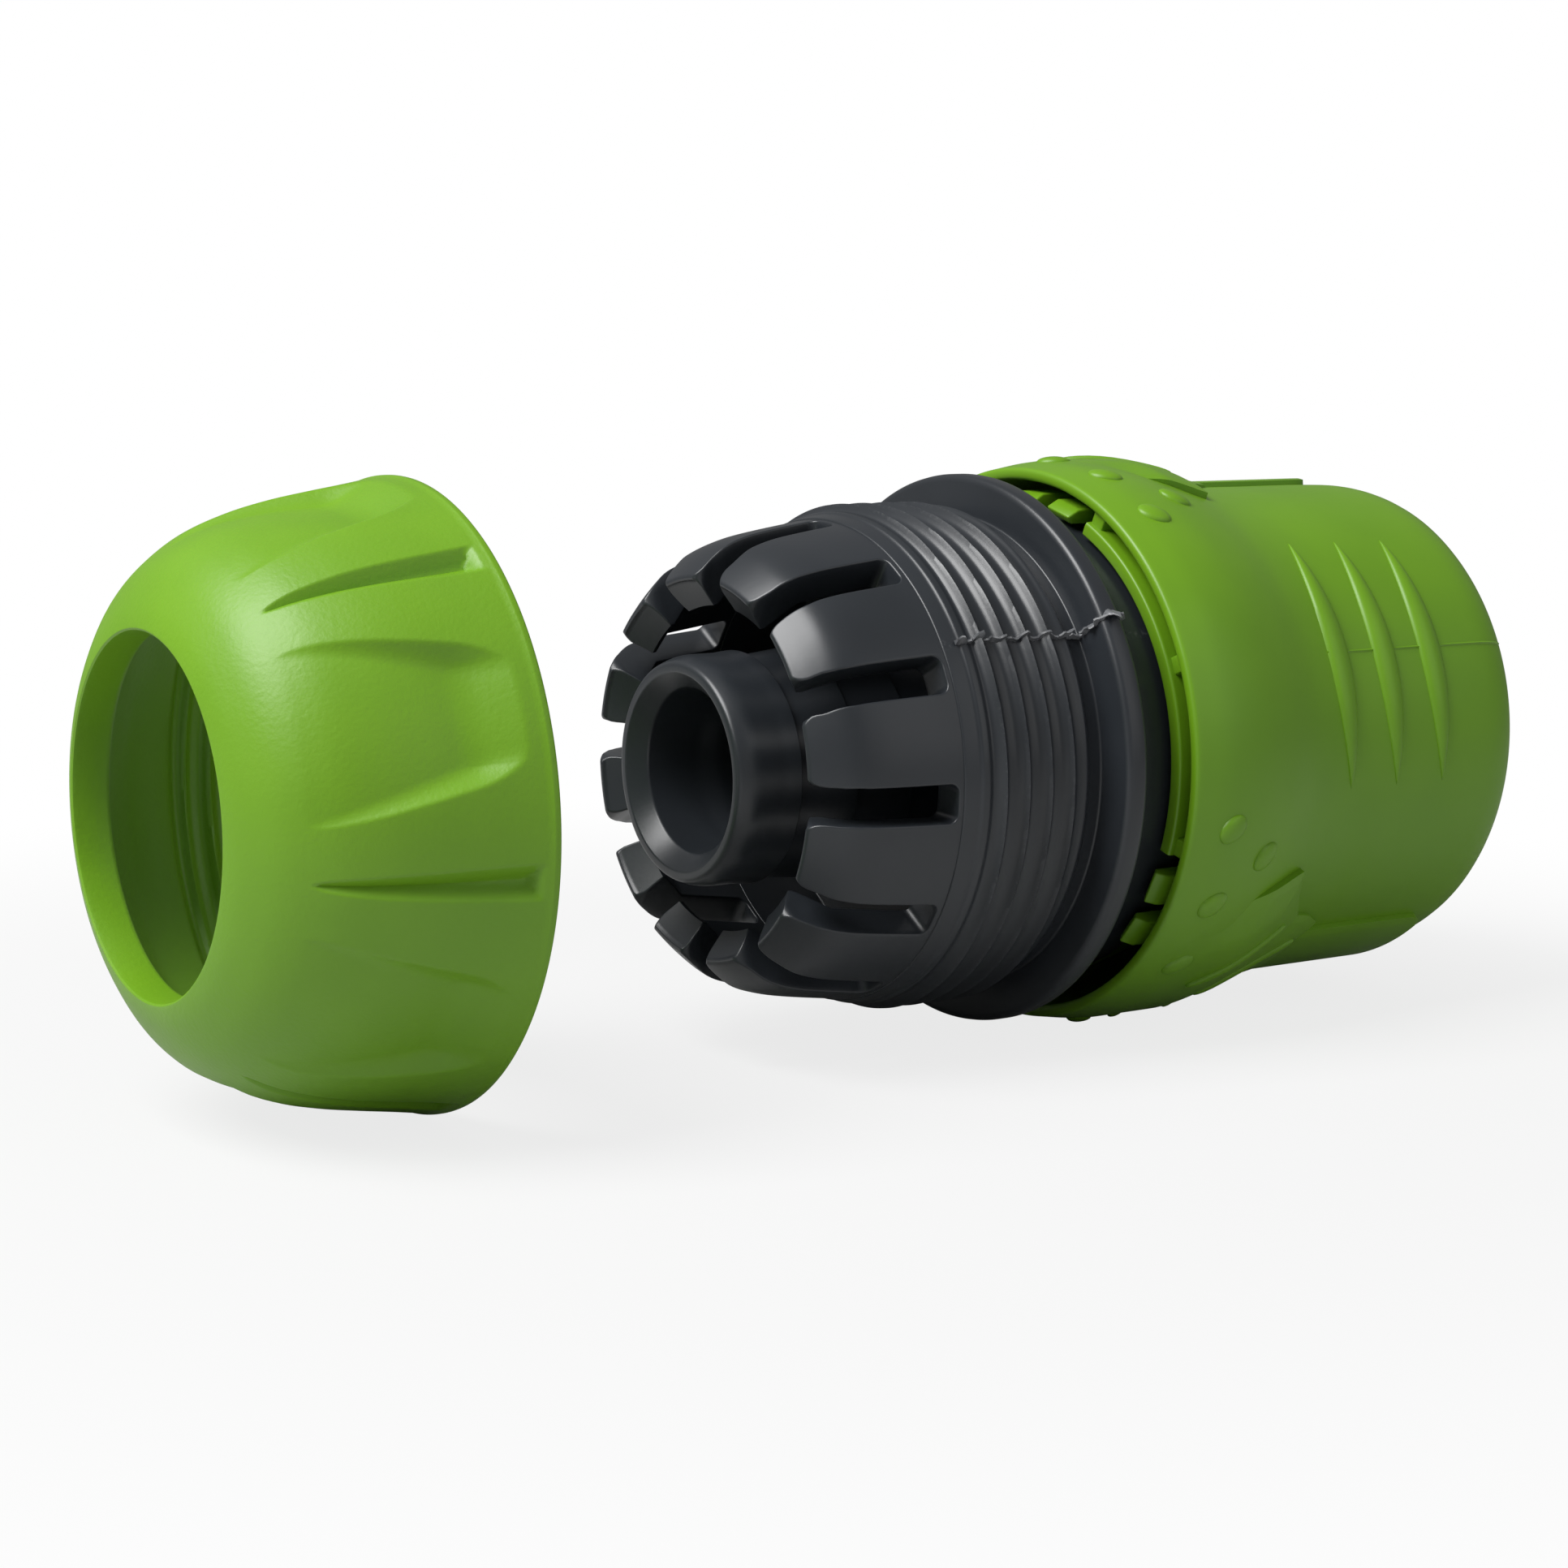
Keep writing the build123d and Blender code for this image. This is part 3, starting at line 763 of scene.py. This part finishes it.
def flashMesh():
    # the thin torn fin along the mould's parting line, over the land, the thread and the flange
    b = body
    path = []
    place = basket["seam"] + 0.7
    while place < b["flangeFront"]:
        radius = b["threadRoot"] + 0.1
        if b["threadStart"] < place < b["threadEnd"]:
            turns = (place - b["crestAt"]) / b["pitch"]
            off = abs((turns + 0.5) % 1.0 - 0.5) * 2
            radius = b["threadRoot"] + b["threadRise"] * (1 - off) ** 3.2
        elif place > b["threadEnd"]:
            radius = b["threadRoot"] - 0.15
        path.append((place, radius, 0.0))
        place += 0.09
    for k in range(14):
        path.append((b["flangeFront"] - 0.02, b["threadRoot"] + 0.3 + 1.6 * k / 13, 0.0))
    for k in range(14):
        path.append((b["flangeFront"] + 0.15 + 1.1 * k / 13, b["flange"] - 0.02, sin(pi * k / 13)))
    for k in range(10):
        path.append((b["flangeBack"], b["flange"] - 0.15 - 1.9 * k / 9, 0.0))
    corners = []
    for k, (place, radius, curl) in enumerate(path):
        wander = 0.75 * noise.noise(Vector((k * 0.11, 2.0, 7.0)))
        wander += 0.35 * noise.noise(Vector((k * 0.4, 8.0, 1.0)))
        angle = b["flashAngle"] + wander + 1.6 * curl
        tall = max(0.24 + 0.34 * noise.noise(Vector((k * 0.3, 5.0, 1.0))), 0.05) + 0.42 * curl
        lean = 1.2 * noise.noise(Vector((k * 0.17, 1.0, 4.0))) - 1.6 * curl
        onFront = b["flangeFront"] - 0.1 < place < b["flangeFront"] + 0.1 and radius > b["threadRoot"] + 0.2
        onBack = place > b["flangeBack"] - 0.1
        outPlace = -1.0 if onFront else (1.0 if onBack else 0.0)
        outRadius = 0.0 if onFront or onBack else 1.0
        for side, height in ((-0.13, -0.08), (-0.05, tall), (0.05, tall), (0.13, -0.08)):
            shift = side + (lean * tall * 0.8 if height > 0 else 0)
            corners.append(placed(
                place + outPlace * height,
                radius + outRadius * height,
                angle + degrees(shift / radius),
            ))
    faces = [(0, 1, 2, 3), tuple(len(corners) - 4 + k for k in range(4))]
    for k in range(len(path) - 1):
        for side in range(4):
            beside = (side + 1) % 4
            faces.append((4 * k + side, 4 * k + beside, 4 * k + 4 + beside, 4 * k + 4 + side))
    return newMesh("mouldFlash", corners, faces)


for make in (tailMesh, sleeveMesh, barrelMesh):
    addPiece(make(), bodyFinish, "hose_end", "hose_end_body")
addPiece(flashMesh(), flashFinish, "hose_end", "hose_end_body")
print("hose-end body made")

# Locking ring: band, jaws and spring legs
legs = {"offsets": (-39.0, -26.0, 26.0, 39.0), "width": 2.0, "wall": 0.85, "outer": 14.45, "bend": 25.5,
        "tip": 22.6, "bevel": 0.7, "bandStart": 36.6, "bandEnd": 43.2, "bandInner": 10.73, "bandOuter": 12.1}
poles = (jaws["first"] + 90, jaws["first"] + 270)  # the sides where the collar has its pads and leaves


def addLockingRing():
    g = legs
    band = traced([
        (g["bandStart"], g["bandInner"], 0.15),
        (g["bandStart"], g["bandOuter"], 0.25),
        (g["bandEnd"], g["bandOuter"], 0.25),
        (g["bandEnd"], g["bandInner"], 0.15),
    ], 0.7)
    addPiece(spun("ringBand", band, 160), ringFinish, "hose_end", "locking_ring")
    step = 360 / jaws["count"]
    jawOutline = [
        (jaws["start"], g["bandInner"] + 0.3),
        (jaws["end"], g["bandInner"] + 0.3),
        (jaws["end"], body["socketBore"] + 0.7),
        (jaws["end"] - 2.2, jaws["reach"]),
        (jaws["start"], jaws["reach"]),
    ]
    for k in range(jaws["count"]):
        mesh = block(f"ringJaw{k + 1}", jawOutline, jaws["first"] + step * k, jaws["width"] / 2 - jaws["gap"])
        addPiece(mesh, ringFinish, "hose_end", "locking_ring", rounding=0.15)
    knee = g["bandStart"] - 2.6
    legOutline = [
        (g["bandStart"] + 0.6, g["bandOuter"] - 0.2),
        (knee, g["bandOuter"]),
        (g["bend"], g["outer"]),
        (g["tip"] + g["bevel"], g["outer"]),
        (g["tip"], g["outer"] - g["wall"] / 2),
        (g["tip"] + g["bevel"] / 2, g["outer"] - g["wall"]),
        (g["bend"], g["outer"] - g["wall"]),
        (knee, g["bandOuter"] - g["wall"]),
        (g["bandStart"] + 0.6, g["bandInner"] + 0.2),
    ]
    count = 0
    for pole in poles:
        for offset in g["offsets"]:
            count += 1
            mesh = block(f"springLeg{count}", legOutline, pole + offset, g["width"] / 2)
            addPiece(mesh, ringFinish, "hose_end", "locking_ring", rounding=0.12)


addLockingRing()
print("locking ring made")

# Release collar
collar = {
    "shell": ((22.9, 15.45), (23.4, 15.83), (25.2, 16.08), (27.5, 15.98), (30.0, 15.5), (33.0, 14.72),
              (36.0, 14.35), (39.0, 14.3), (46.6, 14.25), (48.3, 13.95), (49.2, 13.35), (49.5, 12.6)),
    "mouth": 15.05,
    "mouthDepth": 28.0,
    "bore": 12.9,
    "boreStart": 35.5,
    "boreEnd": 47.6,
    "endOpening": 11.4,
    "rowSpacing": 0.4,
    "lastRow": 48.6,
    "columns": 320,
    "middle": 22.5,
    "padTop": 14.7,
    "pad": (35.0, 46.4, 4.8, 9),  # start, end, half width, sharpness of the corners
    "ribs": (34.5, 38.1, 41.7),
    "ribReach": 7.7,
    "ribBow": 1.2,
    "ribWidth": 1.65,
    "ribHeight": 0.34,
    "seam": (34.5, 48.8, 0.08, 0.07),  # start, end, half width, rise
    # one half of the leaf's rim from its foot to its middle tip, as places along the axis and across
    "leafRim": ((24.6, 0.0), (24.6, 6.6), (25.4, 8.2), (26.6, 9.3), (28.2, 10.1), (30.2, 10.6), (32.8, 10.8),
                (33.5, 8.8), (34.6, 6.9), (35.9, 6.4), (37.1, 5.5), (37.2, 4.0), (37.5, 2.2), (38.4, 0.0)),
    "leafMiddle": (29.5, 0.0),
    "leafRings": 26,
    "leafRise": ((24.5, 0.02), (26.0, 0.1), (28.0, 0.35), (30.0, 0.62), (32.5, 0.72), (34.5, 0.62),
                 (37.0, 0.5), (39.0, 0.45)),
    "leafLimit": 16.15,
    "veins": ((30.6, 5.3, 36.0, 3.3), (33.0, 2.9, 31.0, 3.3)),  # middle along and across, lean, half length
    "vein": (0.34, 0.2, 5),  # half width, height, bluntness
    # each drop's place, and its angle from a pole, positive towards the ribs that face -Y
    "drops": ((25.6, 55.6), (28.7, 48.4), (25.6, 38.9), (25.6, 22.2), (25.6, -12.5), (25.6, -32.5),
              (28.7, -48.4), (25.6, -55.6)),
    "drop": (0.98, 0.74, 0.28, 2),  # half length, half width, height, bluntness
    "dropLean": 38.0,
}


shellLine = smoothLine(collar["shell"][1:])
leafRise = smoothLine(collar["leafRise"])


def collarMesh():
    c = collar
    first, apart = c["shell"][1][0], c["rowSpacing"]
    places = [first + row * apart for row in range(int((c["lastRow"] - first) / apart) + 1)]
    outside = [(place, shellLine(place), 0) for place in places]
    line = traced([(collarFront, c["mouth"] + 0.05, 0.3), (collarFront, 15.75, 0.4)] + outside + [
        (49.0, 13.55, 0.2),
        (49.4, 13.0, 0.2),
        (collarEnd, 12.4, 0.2),
        (collarEnd, c["endOpening"], 0.4),
        (c["boreEnd"], c["endOpening"], 0.2),
        (c["boreEnd"], c["bore"], 0.3),
        (c["boreStart"], c["bore"], 0.5),
        (c["mouthDepth"], c["mouth"], 0.5),
    ], 1.5, 4)
    return spun("collarShell", line, c["columns"])


def onShell(place, across, pole, rise):
    # a point at a distance sideways from a pole's line, at a height over the shell
    radius = shellLine(place)
    return place, radius + rise, pole + degrees(across / radius)


def leafForm(name, pole):
    # a spread leaf, its foot at the collar's mouth: soft in front and crisp at its lobes
    c = collar
    half = c["leafRim"]
    corners = [*half, *((place, -across) for place, across in half[-2:0:-1])]
    rim = []
    for k, corner in enumerate(corners):
        start, end = Vector(corner), Vector(corners[(k + 1) % len(corners)])
        parts = max(int((end - start).length / 0.22), 1)
        rim += [start.lerp(end, part / parts) for part in range(parts)]
    middle = Vector(c["leafMiddle"])

    def height(spot, share):
        soft = 1 - easeIn(30.5, 27.5, spot.x) * easeIn(0.6, 1.0, share)
        pillow = 0.22 * easeIn(0.72, 1.0, share) + 0.1 * easeIn(0.95, 1.0, share)
        return leafRise(spot.x) * soft - pillow * easeIn(26, 30, spot.x)

    rings = [1 - (k / c["leafRings"]) ** 1.3 for k in range(c["leafRings"])]
    points = []
    for k, share in enumerate([1.0, *rings]):
        for spot in rim:
            here = middle.lerp(spot, share)
            place, radius, angle = onShell(here.x, here.y, pole, height(here, share) if k else -0.3)
            points.append(placed(place, min(radius, c["leafLimit"]), angle))
    count = len(rim)
    faces = []
    for ring in range(len(rings)):
        for k in range(count):
            beside = (k + 1) % count
            low = ring * count
            faces.append((low + k, low + beside, low + count + beside, low + count + k))
    top = onShell(*middle, pole, height(middle, 0))
    foot = onShell(*middle, pole, -0.3)
    for centre, ring in ((top, len(rings)), (foot, 0)):
        points.append(placed(*centre))
        for k in range(count):
            faces.append((ring * count + k, ring * count + (k + 1) % count, len(points) - 1))
    return newMesh(name, points, faces, 30)


def ribForm(name, middle, side):
    # one bowed finger rib, pointed at both ends
    c = collar

    def point(t, w, top):
        turn = 2 * t - 1
        swell = 1 - turn * turn
        place = middle + c["ribBow"] * turn * turn + (w + 1) / 2 * c["ribWidth"] * swell
        height = c["ribHeight"] * swell ** 0.6 * (1 - w * w) ** 0.6 if top else -0.2
        return onShell(place, turn * c["ribReach"], side, height)

    return raisedForm(name, 56, 14, point)


def seamForm(name, side):
    # the fine parting line of the mould down one side
    start, end, halfWide, rise = collar["seam"]

    def point(t, w, top):
        return onShell(start + (end - start) * t, w * halfWide, side, rise * (1 - w * w) if top else -0.2)

    return raisedForm(name, 60, 2, point)


def padForm(name, pole):
    # the long grip pad, a rectangle with rounded corners
    start, end, halfWide, sharpness = collar["pad"]

    def point(t, w, top):
        place = start + (end - start) * t
        full = (1 - abs(2 * t - 1) ** sharpness) ** (1 / sharpness)
        bevel = 0.1 * max(easeIn(0.93, 1.0, abs(w)), easeIn(0.98, 1.0, abs(2 * t - 1)))
        across = w * halfWide * full
        place, radius, angle = onShell(place, across, pole, -0.3)
        return place, collar["padTop"] - bevel if top else radius, angle

    return raisedForm(name, 60, 24, point)


def bossForm(name, place, angle, lean, size, ground=None):
    # a small raised boss: size is its half length, half width, height and how blunt its ends are;
    # it stands on the shell or on a ground height over the shell
    halfLong, halfWide, rise, blunt = size
    turn = radians(lean)

    def point(t, w, top):
        far = -cos(pi * t)
        used = abs(far) ** blunt
        along = far * halfLong
        side = w * (1 - used) ** 0.5 * halfWide
        here = place + along * cos(turn) - side * sin(turn)
        height = rise * (1 - min(used + w * w * (1 - used), 1)) ** 0.5 if top else -0.2
        if ground:
            height += ground(here)
        return onShell(here, along * sin(turn) + side * cos(turn), angle, height)

    return raisedForm(name, 14, 12, point)


def addRelief():
    c = collar
    for k, (pole, sense) in enumerate(zip(poles, (-1, 1))):
        forms = [padForm(f"gripPad{k + 1}", pole), leafForm(f"leaf{k + 1}", pole)]
        for n, (place, across, lean, halfLong) in enumerate(c["veins"]):
            for mirror in (1, -1):
                away = degrees(across / shellLine(place)) * mirror
                size = (halfLong, *c["vein"])
                name = f"leaf{k + 1}vein{2 * n + (3 - mirror) // 2}"
                forms.append(bossForm(name, place, pole + away, lean * mirror, size, leafRise))
        for n, (place, away) in enumerate(c["drops"]):
            lean = c["dropLean"] * sense * (1 if away > 0 else -1)
            forms.append(bossForm(f"drop{k + 1}at{n + 1}", place, pole + sense * away, lean, c["drop"]))
        side = c["middle"] + 180 * k
        for n, middle in enumerate(c["ribs"]):
            forms.append(ribForm(f"fingerRib{k + 1}at{n + 1}", middle, side))
        forms.append(seamForm(f"partingLine{k + 1}", side + 0.6))
        for form in forms:
            addPiece(form, collarFinish, "collar", "release_collar")


guide = {
    "inner": 13.55,
    "outer": 14.35,
    "wall": 15.25,
    "depth": 27.0,
    "floorEnd": 28.2,
    "halfAngle": 42,
    "arcSteps": 70,
    "webs": (-40, 0, 40),
    "webFoot": 14.2,
    "webSetBack": 0.35,
    "webEnd": 27.2,
    "webWidth": 1.0,
}
stopCams = {"outline": ((33.6, 12.8), (35.4, 11.6), (36.2, 11.6), (36.2, 13.3), (33.6, 13.8)), "width": 3.2}


def addGuideRing():
    # two arcs of a ring inside the collar's mouth, each on a floor and three webs
    g = guide
    ringLine = traced([
        (collarFront, g["inner"], 0.15),
        (collarFront, g["outer"], 0.2),
        (g["depth"], g["outer"], 0.1),
        (g["depth"], g["wall"], 0),
        (g["floorEnd"], g["wall"], 0),
        (g["floorEnd"], g["inner"], 0.15),
    ], 0.8)
    front, back = collarFront + g["webSetBack"], g["webEnd"]
    low, high = g["webFoot"], g["wall"]
    web = [(front, low), (front, high), (back, high), (back, low)]
    for k, side in enumerate((collar["middle"], collar["middle"] + 180)):
        ends = (side - g["halfAngle"], side + g["halfAngle"])
        mesh = arcPiece(f"guideRing{k + 1}", ringLine, *ends, g["arcSteps"])
        addPiece(mesh, collarFinish, "collar", "release_collar")
        for offset in g["webs"]:
            mesh = block(f"guideWeb{k + 1}at{offset - g['webs'][0]}", web, side + offset, g["webWidth"] / 2)
            addPiece(mesh, collarFinish, "collar", "release_collar", rounding=0.1)


def addStopCams():
    # the cams that stop the collar at the locking ring's band, so that it can't slide off the end
    for k in range(jaws["count"]):
        angle = jaws["first"] + 360 / jaws["count"] * k
        mesh = block(f"stopCam{k + 1}", stopCams["outline"], angle, stopCams["width"] / 2)
        addPiece(mesh, collarFinish, "collar", "release_collar", rounding=0.12)


addPiece(collarMesh(), collarFinish, "collar", "release_collar")
addRelief()
addGuideRing()
addStopCams()
print("release collar made")

# Floor, light and camera
studio = {
    "floorColour": (0.52, 0.52, 0.52),
    "floorRadius": 3.0,  # m
    "whiteShare": 0.8,  # how much of the near floor the camera sees as plain white
    "whiteReach": (0.04, 0.11),  # m from the tail's front, where that share grows to all of it
    "world": 0.23,
    "keyLamp": (-180, 260, 120, 220, 1.75),  # sideways, up and towards the camera, size, power
    "fillLamp": (260, 120, 160, 260, 0.12),
    "lampAim": (10, 0, 0),
    "azimuth": -34.1,
    "elevation": 7.6,
    "distance": 173.8,  # from the camera to the plane of the tail's front-face centre
    "right": 5.7,
    "below": 0.64,
    "focalPixels": 4000.0,
    "imageWidth": 1932.0,
    "sensor": 36.0,
}


def addFloor():
    mesh = bpy.data.meshes.new("floor")
    work = bmesh.new()
    bmesh.ops.create_circle(work, cap_ends=True, segments=96, radius=studio["floorRadius"])
    work.to_mesh(mesh)
    work.free()
    made = bpy.data.objects.new("floor", mesh)
    made.location.z = floorHeight * mm
    bpy.context.scene.collection.objects.link(made)
    finish = bpy.data.materials.new("floorPaper")
    finish.use_nodes = True
    tree = finish.node_tree
    surface = tree.nodes["Principled BSDF"]
    surface.inputs["Base Color"].default_value = (*studio["floorColour"], 1)
    surface.inputs["Roughness"].default_value = 0.9
    surface.inputs["Specular IOR Level"].default_value = 0.1
    white = tree.nodes.new("ShaderNodeEmission")
    white.inputs["Color"].default_value = (1, 1, 1, 1)
    white.inputs["Strength"].default_value = 1.0
    where = tree.nodes.new("ShaderNodeTexCoord").outputs["Object"]
    far = tree.nodes.new("ShaderNodeVectorMath")
    far.operation = "LENGTH"
    link(tree, where, far.inputs[0])
    share = tree.nodes.new("ShaderNodeMapRange")
    share.interpolation_type = "SMOOTHSTEP"
    share.inputs["From Min"].default_value = studio["whiteReach"][0]
    share.inputs["From Max"].default_value = studio["whiteReach"][1]
    share.inputs["To Min"].default_value = studio["whiteShare"]
    link(tree, far.outputs["Value"], share.inputs["Value"])
    rays = tree.nodes.new("ShaderNodeLightPath")
    seen = tree.nodes.new("ShaderNodeMath")
    seen.operation = "MULTIPLY"
    link(tree, rays.outputs["Is Camera Ray"], seen.inputs[0])
    link(tree, share.outputs["Result"], seen.inputs[1])
    mix = tree.nodes.new("ShaderNodeMixShader")
    link(tree, seen.outputs["Value"], mix.inputs["Fac"])
    link(tree, surface.outputs["BSDF"], mix.inputs[1])
    link(tree, white.outputs["Emission"], mix.inputs[2])
    link(tree, mix.outputs["Shader"], tree.nodes["Material Output"].inputs["Surface"])
    mesh.materials.append(finish)


def addWorld():
    world = bpy.data.worlds.new("studioWorld")
    bpy.context.scene.world = world
    world.use_nodes = True
    tree = world.node_tree
    soft = tree.nodes["Background"]
    soft.inputs["Color"].default_value = (1, 1, 1, 1)
    soft.inputs["Strength"].default_value = studio["world"]
    white = tree.nodes.new("ShaderNodeBackground")
    white.inputs["Color"].default_value = (1, 1, 1, 1)
    white.inputs["Strength"].default_value = 1.0
    rays = tree.nodes.new("ShaderNodeLightPath")
    mix = tree.nodes.new("ShaderNodeMixShader")
    link(tree, rays.outputs["Is Camera Ray"], mix.inputs["Fac"])
    link(tree, soft.outputs["Background"], mix.inputs[1])
    link(tree, white.outputs["Background"], mix.inputs[2])
    link(tree, mix.outputs["Shader"], tree.nodes["World Output"].inputs["Surface"])


def cameraTurn():
    # right, up and back of a camera that looks down at the part with no roll
    a, e = radians(studio["azimuth"]), radians(studio["elevation"])
    back = Vector((sin(a) * cos(e), -cos(a) * cos(e), sin(e)))
    right = Vector((cos(a), sin(a), 0))
    return right, back.cross(right), back


def addLamp(name, sideways, up, towards, size, power):
    # a soft square lamp that faces the part's middle, placed as seen from the camera, in mm
    right, lift, back = cameraTurn()
    light = bpy.data.lights.new(name, "AREA")
    light.size = size * mm
    light.energy = power
    made = bpy.data.objects.new(name, light)
    middle = Vector(studio["lampAim"]) * mm
    made.location = middle + (right * sideways + Vector((0, 0, 1)) * up + back * towards) * mm
    made.rotation_mode = "QUATERNION"
    made.rotation_quaternion = (middle - made.location).to_track_quat("-Z", "Y")
    bpy.context.scene.collection.objects.link(made)


def addCamera():
    right, up, back = cameraTurn()
    camera = bpy.data.cameras.new("photoCamera")
    camera.sensor_width = studio["sensor"]
    camera.lens = studio["focalPixels"] / studio["imageWidth"] * studio["sensor"]
    camera.clip_start = 1 * mm
    camera.clip_end = 10
    made = bpy.data.objects.new("photoCamera", camera)
    where = right * studio["right"] - up * studio["below"] + back * studio["distance"]
    turned = Matrix((right, up, back)).transposed().to_4x4()
    made.matrix_world = Matrix.Translation(where * mm) @ turned
    bpy.context.scene.collection.objects.link(made)
    bpy.context.scene.camera = made


addFloor()
addWorld()
for lamp in ("keyLamp", "fillLamp"):
    addLamp(lamp, *studio[lamp])
addCamera()
bpy.context.scene.view_settings.view_transform = "Standard"
print("studio made")
